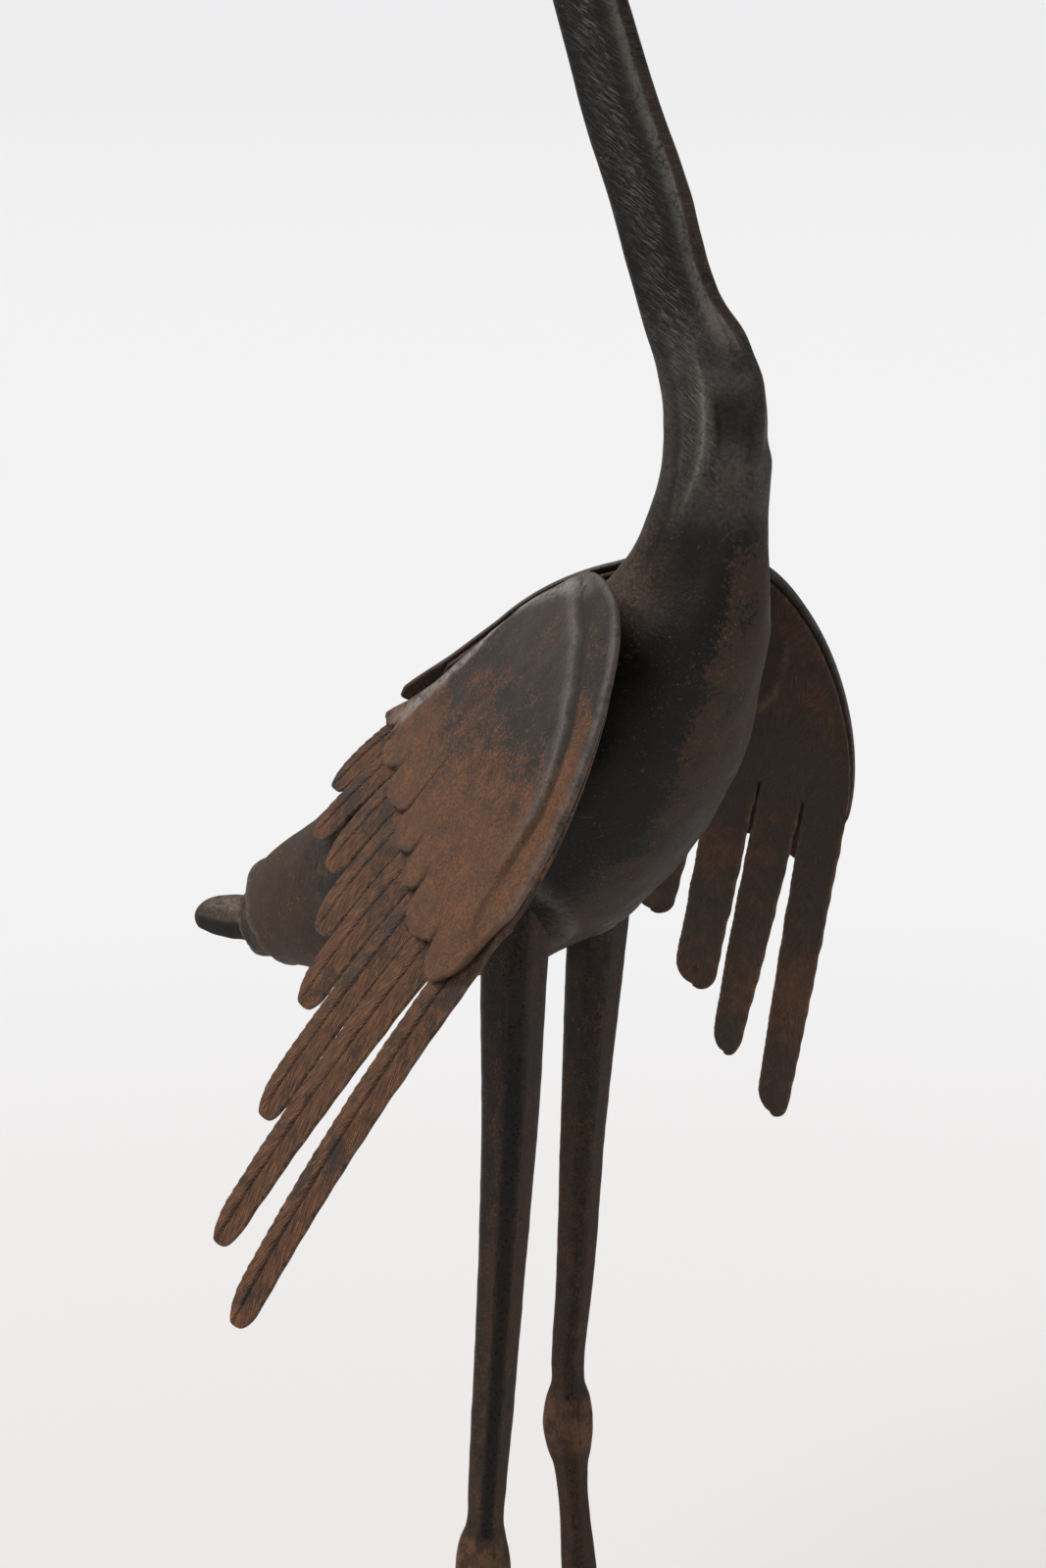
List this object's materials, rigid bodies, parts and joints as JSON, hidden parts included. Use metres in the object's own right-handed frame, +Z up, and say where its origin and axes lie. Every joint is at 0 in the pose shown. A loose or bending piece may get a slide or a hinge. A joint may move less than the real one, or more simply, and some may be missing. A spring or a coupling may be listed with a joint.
{
  "type": "crane sculpture",
  "caption": "Standing crane of forged and rusted iron, its long neck raised and its wings hanging half open, on a low rectangular plate.",
  "frame": {"origin": "centre of the base plate's underside", "axes": "+Z up, +X to the bird's left, the bird faces -Y"},
  "size_m": [0.3127, 0.354, 0.9204],
  "materials": {
    "black_iron": "forged iron, blackened and worn to a soft sheen, with thin brown rust",
    "brown_iron": "forged iron with an even brown rust",
    "wing_iron": "hammered sheet with brown rust, rubbed grey where it stands proud",
    "feather_iron": "chiselled sheet, brown, with orange rust in the cuts",
    "leg_iron": "dark forged bar, pitted along its faces",
    "base_iron": "flat plate with dark brown rust"
  },
  "bodies": {
    "root": {"body_neck_and_head": "black_iron", "tail_sleeve": "brown_iron", "tail_feather": "brown_iron", "wing_right_coverts": "wing_iron", "wing_right_flight_feathers": "feather_iron", "wing_left_coverts": "wing_iron", "wing_left_flight_feathers": "feather_iron", "leg_right": "leg_iron", "leg_left": "leg_iron", "base": "base_iron"}
  },
  "joints": []
}
